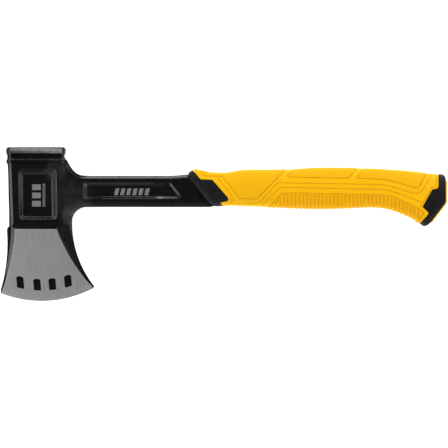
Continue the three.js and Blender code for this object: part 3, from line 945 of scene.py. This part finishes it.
def unit_section():
    """Angle as a function of the share of the way round half a section."""
    angle = np.linspace(0, math.pi, 721)
    y = 18 * np.sign(np.cos(angle)) * np.abs(np.cos(angle)) ** SQUARENESS
    z = 14 * np.abs(np.sin(angle)) ** SQUARENESS
    way = np.concatenate([[0], np.cumsum(np.hypot(np.diff(y), np.diff(z)))])
    return way / way[-1], angle


WAY, ANGLE = unit_section()


def section(x):
    """Middle, half depth and half thickness of the handle's section at x."""
    along = x - SHOULDER_X
    top, bottom = SHAFT_HALF + rise(along), -SHAFT_HALF - drop(along)
    return (top + bottom) / 2, (top - bottom) / 2, girth(along)


def skin_point(p):
    """Point on the handle's skin. p is the x place and the way round from the top."""
    middle, half_depth, half_thickness = section(p[:, 0])
    angle = np.interp(p[:, 1] / HALF_GIRTH, WAY, ANGLE)
    c, s = np.cos(angle), np.sin(angle)
    y = middle + half_depth * np.sign(c) * np.abs(c) ** SQUARENESS
    return np.column_stack([p[:, 0], y, half_thickness * np.abs(s) ** SQUARENESS])


def skin_normal(p):
    """Outward direction of the skin. It stays in the mid-plane at the top and bottom."""
    e = 0.05
    inner = np.column_stack([p[:, 0], np.clip(p[:, 1], 2 * e, HALF_GIRTH - 2 * e)])
    dx = skin_point(inner + (e, 0)) - skin_point(inner - (e, 0))
    ds = skin_point(inner + (0, e)) - skin_point(inner - (0, e))
    normal = np.cross(ds, dx)
    normal /= np.linalg.norm(normal, axis=1)[:, None]
    normal[normal[:, 2] < 0] *= -1
    ends = (p[:, 1] < 2 * e) | (p[:, 1] > HALF_GIRTH - 2 * e)
    normal[ends, 2] = 0
    return normal / np.linalg.norm(normal, axis=1)[:, None]


def onto_skin(points, spacing=0.6):
    """A side-view line as places on the skin."""
    even = resample_keeping_corners(points, spacing)
    middle, half_depth, _ = section(even[:, 0])
    share = np.clip((even[:, 1] - middle) / half_depth, -1, 1)
    angle = np.arccos(np.sign(share) * np.abs(share) ** (1 / SQUARENESS))
    way = np.interp(angle, ANGLE, WAY) * HALF_GIRTH
    return np.column_stack([even[:, 0], way])


def skin_z(p):
    """Half thickness of the handle at side-view places."""
    middle, half_depth, half_thickness = section(p[:, 0])
    share = np.clip((p[:, 1] - middle) / half_depth, -1, 1)
    sine = np.sqrt(np.maximum(1 - np.abs(share) ** (2 / SQUARENESS), 0))
    return half_thickness * sine ** SQUARENESS


# ---- Handle: seams, grooves and panels

def from_shoulder(*points):
    """Side-view points given by distance from the shoulder and height above the shaft's middle."""
    return line(*[(SHOULDER_X + x, y) for x, y in points])


def from_butt(*points):
    return line(*[(BUTT_X - x, y) for x, y in points])


FRONT_SEAM = from_shoulder(
    (4.2, 19.6), (4.9, 17.9), (11.0, 10.35), (21.1, 10.1), (34.9, -5.6), (35.3, -7.2), (34.4, -8.6),
    (28.1, -9.8), (30.3, -12.6), (31.5, -14.5)
)
REAR_SEAM = from_butt(
    (7.9, 18.0), (7.7, 5.0), (8.3, 3.1), (9.5, 2.4), (12.6, 1.8), (13.6, 1.0), (21.7, -13.2),
    (21.6, -14.2), (17.6, -17.5), (16.9, -18.6), (16.9, -20.4), (23.9, -27.8), (26.0, -30.2)
)


# Centre lines of the grooves that divide the grip into panels: distance from the shoulder and
# height above the shaft's middle, in the side view.
GROOVE_LINES = {
    "front_panel": (
        (10.5, 19.5), (11.4, 17.9), (14.6, 13.7), (15.6, 13.4), (30.1, 13.1), (45.3, -6.1),
        (46.3, -6.5), (59.6, -6.6), (61.2, -5.9), (85.1, 18.7), (86.5, 20.5),
    ),
    "inner_lane": (
        (25.4, 13.2), (38.9, -4.6), (39.8, -6.6), (39.5, -8.2), (37.9, -9.8),
    ),
    "outer_lane": (
        (32.4, -10.6), (61.2, -10.6), (62.9, -9.8), (77.2, 6.4), (79.0, 7.2), (83.2, 7.4),
        (115, 6.8), (150, 6.1), (168.4, 5.9), (175, 4.9), (180.8, 3.1), (195.5, -1.5),
        (199.5, -1.9), (202.5, -0.9), (204.7, 1.4), (212.6, 14.3), (214.5, 18.0),
    ),
    "middle_lane": (
        (63.4, -13.8), (77.6, 0.6), (79.5, 2.6), (83.2, 3.4), (98.3, 3.1), (140, 2.2),
        (168.4, 1.6), (176, 0.6), (180.8, -1.0), (203.9, -9.6),
    ),
    "rib_top": (
        (68.4, -14.6), (71.8, -12.5), (81.5, -2.4), (83.2, -1.6), (98.3, -1.5), (115.7, -2.0),
        (168.4, -3.0), (176, -4.0), (180.8, -5.5), (197.3, -12.9), (205.6, -18.2), (206.0, -19.3),
        (200.5, -26.6),
    ),
    "top_panel": (
        (91.0, 20.5), (91.7, 19.0), (86.9, 14.0), (86.9, 13.0), (88.2, 12.6), (115.7, 11.7),
        (138.7, 11.4), (141.2, 12.4), (146.9, 19.2), (147.5, 21.0),
    ),
    "rear_panel": (
        (155.0, 21.5), (154.4, 19.6), (147.9, 13.2), (147.6, 12.1), (148.6, 11.4), (169.2, 10.6),
        (180.7, 8.1), (197.2, 3.2), (200.0, 2.9), (202.0, 4.2), (208.0, 15.1), (209.5, 18.5),
    ),
    "along_cap": (
        (217.1, 18.5), (216.7, 5.7), (215.6, 4.4), (213.4, 4.0), (202.6, -13.7),
    ),
}
GROOVES = {name: onto_skin(from_shoulder(*points), 0.5) for name, points in GROOVE_LINES.items()}
GROOVE_HALF = 0.5
GROOVE_DEPTH = 0.42
PANEL_PROUD = 0.3
RIB_PITCH = 3.35
RIB_START = SHOULDER_X + 75.5
RIB_END = SHOULDER_X + 201.5
RIB_DEPTH = 0.8
# Ridges along the top of the grip, next to the collar.
RIDGE_PITCH = 3.2
RIDGE_DEPTH = 0.7
RIDGE_START = SHOULDER_X + 17
RIDGE_END = SHOULDER_X + 37.5


def signed_distance(outline, p):
    d = distance_to(closed(outline), p)
    return np.where(inside(outline, p), d, -d)


def rib_area():
    rib = GROOVES["rib_top"]
    return np.vstack([rib, line((rib[-1][0], HALF_GIRTH + 3), (rib[0][0], HALF_GIRTH + 3))])


def widened_at_top(outline):
    """Carries an outline that starts and ends at the top of the handle past it."""
    first, last = outline[0], outline[-1]
    return np.vstack([line((first[0], -4)), outline, line((last[0], -4))])


RIBS = rib_area()
RAISED = [widened_at_top(GROOVES[name]) for name in ("front_panel", "top_panel", "rear_panel")]
RAISED.append(RIBS)


def rib_valleys():
    count = int((RIB_END - RIB_START) / RIB_PITCH)
    return [RIB_START + RIB_PITCH * (k + 0.5) for k in range(count + 1)]


def to_valley(x, start, pitch):
    """Distance to the nearest valley of a row of ridges."""
    return np.abs(((x - start) / pitch) % 1 - 0.5) * pitch


def rib_share(p):
    """How much places belong to the ribs, and how deep in a valley between two they are."""
    x = p[:, 0]
    within = step(signed_distance(RIBS, p), 0.7, 1.5)
    within *= step(x, RIB_START, RIB_START + 1) * (1 - step(x, RIB_END, RIB_END + 1))
    return within, 1 - step(to_valley(x, RIB_START, RIB_PITCH), 0.15, 0.95)


def grip_relief(p):
    """Height of the grip's surface above the plain skin."""
    relief = np.zeros(len(p))
    for groove in GROOVES.values():
        d = distance_to(groove, p)
        share = np.clip(d / GROOVE_HALF, 0, 1)
        relief = np.minimum(relief, -GROOVE_DEPTH * (1 - share ** 2) ** 1.5)
    for area in RAISED:
        relief += PANEL_PROUD * step(signed_distance(area, p), -0.2, 0.6)
    within, valley = rib_share(p)
    relief -= RIB_DEPTH * valley * within
    x, way = p.T
    on_top = (1 - step(way, 4.5, 6.5)) * step(x, RIDGE_START - 1, RIDGE_START + 1)
    on_top *= 1 - step(x, RIDGE_END - 1, RIDGE_END + 1)
    valley = 1 - step(to_valley(x, RIDGE_START, RIDGE_PITCH), 0.15, 1.0)
    return relief - RIDGE_DEPTH * valley * on_top


SKIN_DEPTH = 2.2  # how far the walls along a seam go in


def skin_patch(name, outline, seams, rows, pitch, relief, materials, pick, roll, keep_lines=()):
    """A piece of the handle's skin: both halves, with edges rolled in along its seams."""
    verts, faces, rim = triangulate(outline, rows, pitch, keep_lines)
    to_seam = np.minimum.reduce([distance_to(seam, verts) for seam in seams])
    height = relief(verts) - rolled(to_seam, roll)
    points = skin_point(verts) + skin_normal(verts) * height[:, None]
    on_middle = (verts[:, 1] < 1e-6) | (verts[:, 1] > HALF_GIRTH - 1e-6)
    points[on_middle, 2] = 0
    inward = points[rim] - skin_normal(verts[rim]) * SKIN_DEPTH
    inward[on_middle[rim], 2] = 0
    count, n = len(verts), len(rim)
    start = 2 * count
    walls = []
    for i in range(n):
        j = (i + 1) % n
        if on_middle[rim[i]] and on_middle[rim[j]]:
            continue
        walls.append((rim[i], rim[j], start + j, start + i))
        walls.append((count + rim[j], count + rim[i], start + n + i, start + n + j))
    all_faces = mirrored(faces, count) + walls
    index = list(pick(verts[faces].mean(axis=1))) * 2 + [0] * len(walls)
    mirror = (1, 1, -1)
    all_points = np.vstack([points, points * mirror, inward, inward * mirror])
    return make_object(name, all_points, all_faces, materials, index, smooth_angle=50)


def grip_outline():
    front = onto_skin(FRONT_SEAM + (GAP / 2, 0))
    rear = onto_skin(REAR_SEAM - (GAP / 2, 0))
    front[0, 1], rear[0, 1] = 0, 0
    front[-1, 1], rear[-1, 1] = HALF_GIRTH, HALF_GIRTH
    bottom = resample(line(front[-1], rear[-1]), 0.4)[1:-1]
    top = resample(line(rear[0], front[0]), 0.4)[1:-1]
    outline = np.vstack([front, bottom, rear[::-1], top])
    return outline, [front, rear]


def rib_creases(rear):
    """Lines across the ribs that the grip's mesh follows, clear of the seam at the rear."""
    creases = []
    for x in rib_valleys():
        for shift in (-0.9, -0.35, 0.35, 0.9):
            ways = np.arange(14, HALF_GIRTH - 0.3, 0.9)
            places = np.column_stack([np.full(len(ways), x + shift), ways])
            deep = (signed_distance(RIBS, places) > 0.9) & (distance_to(rear, places) > 1.2)
            if deep.sum() > 2:
                creases.append(np.vstack([places[deep], (x + shift, HALF_GIRTH - 0.15)]))
    return creases


def grip_materials(places):
    """Index of the material at places: lane 0, panel or rib 1, groove 2, valley 3. Panel, groove and
    valley are copies of the lane's yellow painted darker, as painted shade.
    """
    index = np.zeros(len(places), int)
    for area in RAISED:
        # Panels and ribs take the darker yellow, which is painted shade.
        index[inside(area, places)] = 1
    within, valley = rib_share(places)
    # Deep in the rib valleys the yellow is painted darker: painted shade in the valleys.
    index[(within > 0.9) & (valley > 0.85)] = 3
    nearest = np.minimum.reduce([distance_to(groove, places) for groove in GROOVES.values()])
    # Along the groove lines the yellow is painted darker: painted shade in the grooves.
    index[nearest < 0.32] = 2
    return index


def make_grip():
    outline, seams = grip_outline()
    outline = drop_repeats(outline)
    beside = (-0.75, -0.5, -0.25, 0, 0.25, 0.5, 0.75)
    rows = [rows_beside(groove, beside, 0.55) for groove in GROOVES.values()]
    rows += [rows_beside(seam, (-0.15, 0.15, -0.4, 0.4, -0.8, 0.8), 0.6) for seam in seams]
    low, high = RIDGE_START - 2, RIDGE_END + 1.5
    rows.append(grid_inside(line((low, 0.2), (high, 0.2), (high, 7), (low, 7)), 0.5))
    made = skin_patch("grip_skin", outline, seams, rows, 1.5, grip_relief,
                      [LANE, SHADED_PANEL, GROOVE_SHADE, VALLEY_SHADE], grip_materials, 0.5,
                      keep_lines=rib_creases(seams[1]))
    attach(made, "root")
    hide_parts("grip")


# ---- Collar

def collar_front():
    """The collar's slanting front edge, from top to bottom of the skin."""
    tops = line(*[(shoulder_x(y), y) for y in (18.4, SHOULDER_CORNER, -16)])
    return onto_skin(tops, 0.6)


def collar_outline():
    front = collar_front()
    seam = onto_skin(FRONT_SEAM - (GAP / 2, 0))
    front = front[(front[:, 1] > 0.01) & (front[:, 1] < HALF_GIRTH - 0.01)]
    first_x = SHOULDER_X + 0.15
    front = np.vstack([line((first_x, 0)), front, line((front[-1][0] + 0.4, HALF_GIRTH))])
    seam[0, 1], seam[-1, 1] = 0, HALF_GIRTH
    top = resample(line(seam[0], front[0]), 0.7)[1:-1]
    bottom = resample(line(front[-1], seam[-1]), 0.7)[1:-1]
    return np.vstack([front, bottom, seam[::-1], top]), front, seam


def make_collar():
    outline, front, seam = collar_outline()
    outline = drop_repeats(outline)
    rows = [rows_beside(edge, (-0.15, 0.15, -0.4, 0.4, -0.8, 0.8, -1.3, 1.3), 0.6)
            for edge in (front, seam)]

    def relief(p):
        to_front = distance_to(front, p)
        on_side = step(p[:, 1], 9, 14)
        return 0.1 - 0.04 * np.maximum(6.5 - to_front, 0) ** 2 * on_side - rolled(to_front, 0.5)

    made = skin_patch("collar_skin", outline, [seam], rows, 1.2, relief, [NYLON],
                      lambda p: np.zeros(len(p), int), 0.4)
    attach(made, "root")
    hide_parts("front_collar")


# ---- End cap and pad

CAP_FACE = 1.6  # how far the cap's outer face is in from the butt's end
CAP_TOP = 15.15
CAP_HALF = 14.3
RIM_FACET = (3.2, 1.2, 0.42)  # width, width of its slope and slope of the facet round the cap
PAD_PROUD = 1.2
PAD_SEAT = 1.2
PAD_HALF = 8.3
PAD_ROLL = 1.1


def butt_line():
    """The cap's outer edge in the side view, from the top round to the hook's tip."""
    corner = curve(from_butt(
        (7.6, 15.1), (5.4, 15.2), (3.6, 14.6), (2.3, 13.2), (CAP_FACE, 11.0)
    ), 5)
    knee = curve(from_butt((CAP_FACE, -8.2), (CAP_FACE + 0.3, -9.6), (CAP_FACE + 1.2, -11.1)), 5)
    tip = curve(from_butt(
        (14.3, -26.4), (15.9, -28.2), (17.8, -29.7), (20.0, -30.3), (22.2, -29.6), (23.9, -27.9)
    ), 5)
    return np.vstack([corner, knee, tip])


def make_cap():
    outer = butt_line()
    seam = REAR_SEAM[1:-2] + (GAP / 2, 0)
    seam = np.vstack([line((seam[0][0], CAP_TOP)), seam])
    outline = resample_keeping_corners(closed(np.vstack([outer, seam[::-1]])), 0.5)[:-1]
    outline = drop_repeats(outline)
    bevel = outer[4:-12]
    near = np.array((0.12, 0.3, 0.6, 1.0, 1.5))
    further = np.arange(1.8, 4.4, 0.35)
    rows = [rows_beside(closed(outline), side * near, 0.5) for side in (-1, 1)]
    rows += [rows_beside(bevel, side * further, 0.6) for side in (1, -1)]
    verts, faces, rim = triangulate(outline, rows, 0.9)
    to_outer, to_seam = distance_to(outer, verts), distance_to(seam, verts)
    width, sloping, slope = RIM_FACET
    height = np.minimum(skin_z(verts), CAP_HALF)
    height -= slope * soft_min(soft_max(width - to_outer, 0, 0.3), sloping, 0.3)
    height = np.maximum(height - rolled(to_seam, 0.45) - rolled(to_outer, 0.6), 0.6)
    index = np.zeros(len(faces), int)
    points, all_faces, materials = two_sided(verts, faces, rim, height, index, wall_steps=8)
    made = make_object("cap_skin", points, all_faces, [NYLON], materials, smooth_angle=48)
    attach(made, "root")
    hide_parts("end_cap")


def make_pad():
    """The yellow strip let into the cap's outer face, with rounded edges and ends."""
    spine = curve(from_butt(
        (CAP_FACE, 9.6), (CAP_FACE, 2.0), (CAP_FACE, -7.6), (CAP_FACE + 0.4, -9.7),
        (CAP_FACE + 1.4, -11.5), (8.2, -18.3), (15.0, -27.2)
    ), 6)
    spine = resample(spine, 0.7)
    places = np.concatenate([[0], np.cumsum(np.hypot(*np.diff(spine, axis=0).T))])
    to_end = np.minimum(places, places[-1] - places)
    end_drop = rolled(to_end, PAD_ROLL)
    half_width = PAD_HALF - rolled(to_end, 3.0) * 0.9
    across_pad = np.linspace(-1, 1, 28)
    rings = []
    for point, normal, drop_here, half in zip(spine, -side_normals(spine), end_drop, half_width):
        z = across_pad * half
        lift = PAD_PROUD - drop_here - rolled(half - np.abs(z), PAD_ROLL)
        lift = np.append(np.maximum(lift, -PAD_SEAT), (-PAD_SEAT, -PAD_SEAT))
        z = np.append(z, (half, -half))
        rings.append(np.column_stack([point + normal * lift[:, None], z]))
    count = len(rings[0])
    faces = [tuple(range(count)), tuple(range((len(rings) - 1) * count, len(rings) * count))]
    for start in range(0, (len(rings) - 1) * count, count):
        for i in range(count):
            j = (i + 1) % count
            faces.append((start + i, start + j, start + count + j, start + count + i))
    # The pad takes the panels' yellow, which is painted a little darker as painted shade.
    made = make_object("pad_skin", np.vstack(rings), faces, [SHADED_PANEL], smooth_angle=60)
    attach(made, "root")
    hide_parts("butt_pad")


# ---- Printed marks

INK_HALF = 0.05  # half the ink's thickness


def bars(name, z, shapes):
    """Flat printed shapes just above a floor of the steel, on both sides."""
    verts, faces = [], []
    for shape in shapes:
        n = len(shape)
        for side in (1, -1):
            start = len(verts)
            verts += [(x, y, side * (z + INK_HALF)) for x, y in shape]
            verts += [(x, y, side * (z - INK_HALF)) for x, y in shape]
            faces += [tuple(start + i for i in range(n)), tuple(start + n + i for i in range(n))]
            faces += [(start + i, start + (i + 1) % n, start + n + (i + 1) % n, start + n + i)
                      for i in range(n)]
    made = make_object(name, np.array(verts), faces, [INK])
    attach(made, "root")


def bar(x, y, width, height, lean=0):
    return [(x, y), (x + width, y), (x + width + lean, y + height), (x + lean, y + height)]


def make_marks():
    """Plain bars where the axe is printed: a slanted row on the shaft, two rows on the cheek."""
    bars("shaft_mark", RECESS_FLOOR, [bar(63.2 + 5.3 * k, -3.3, 3.4, 5.9, lean=1.4) for k in range(6)])
    large = [bar(-8.2, -13.2 + 7.2 * k, 7.6, 5.0) for k in range(3)]
    small = [bar(1.0, -13.2 + 1.72 * k, 2.3, 1.0) for k in range(12)]
    bars("cheek_mark", POCKET_FLOOR, large + small)


# ---- Stage

VIEW_WIDTH = 0.3913  # width of the picture at the axe's mid-plane
CAMERA_HEIGHT = 6.0
SENSOR = 36

# Softboxes: name, degrees round from +X, degrees up, distance, size, watts.
PANELS = (
    ("top", 90, 29, 1.8, (1.1, 0.28), 14),
    ("left", 180, 23, 1.8, (1.4, 0.5), 10),
    ("right", 0, 38, 1.8, (1.4, 0.8), 6),
    ("low", 270, 15, 1.8, (2.2, 0.8), 4.5),
    ("top_right", 45, 34, 1.8, (0.7, 0.7), 6),
    ("top_left", 135, 34, 1.8, (0.7, 0.7), 6),
    ("low_left", 225, 36, 1.8, (0.8, 0.8), 9),
    ("low_right", 315, 34, 1.8, (0.7, 0.7), 9),
)
WORLD_LIGHT = 0.05
FLOOR_GLOW = 0.75


def area_light(name, direction, elevation, distance, size, power):
    """A rectangular softbox that faces the axe."""
    turn, lift = math.radians(direction), math.radians(elevation)
    place = distance * Vector((
        math.cos(turn) * math.cos(lift), math.sin(turn) * math.cos(lift), math.sin(lift),
    ))
    light = bpy.data.lights.new(name, "AREA")
    light.shape = "RECTANGLE"
    light.size, light.size_y = size
    light.energy = power
    made = bpy.data.objects.new(name, light)
    made.location = place
    made.rotation_euler = (-place).to_track_quat("-Z", "Y").to_euler()
    bpy.context.scene.collection.objects.link(made)


def make_stage():
    scene = bpy.context.scene
    camera = bpy.data.cameras.new("camera")
    camera.sensor_width = SENSOR
    camera.lens = SENSOR * (CAMERA_HEIGHT - ORIGIN[2]) / VIEW_WIDTH
    camera.clip_end = 50
    eye = bpy.data.objects.new("camera", camera)
    eye.location = (0, 0, CAMERA_HEIGHT)
    scene.collection.objects.link(eye)
    scene.camera = eye

    for panel in PANELS:
        area_light(*panel)

    world = bpy.data.worlds.new("studio")
    world.use_nodes = True
    background = world.node_tree.nodes["Background"]
    background.inputs["Color"].default_value = (1, 1, 1, 1)
    background.inputs["Strength"].default_value = WORLD_LIGHT
    scene.world = world
    scene.view_settings.view_transform = "Standard"

    bpy.ops.mesh.primitive_plane_add(size=8, location=(0, 0, -0.0002))
    floor = bpy.context.object
    floor.name = "studio_floor"
    paper = Surface("floor_paper", roughness=0.9)
    paper.set("Base Color", (0.9, 0.9, 0.9, 1))
    paper.set("Emission Color", (1, 1, 1, 1))
    paper.set("Emission Strength", FLOOR_GLOW)
    floor.data.materials.append(paper.material)


def finish_core():
    """The core is closed in, so it keeps its own solid with the nylon on it."""
    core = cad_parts["tang_core"]
    core.data.materials.clear()
    core.data.materials.append(NYLON)


make_forging()
make_grip()
make_collar()
make_cap()
make_pad()
make_marks()
finish_core()
make_stage()
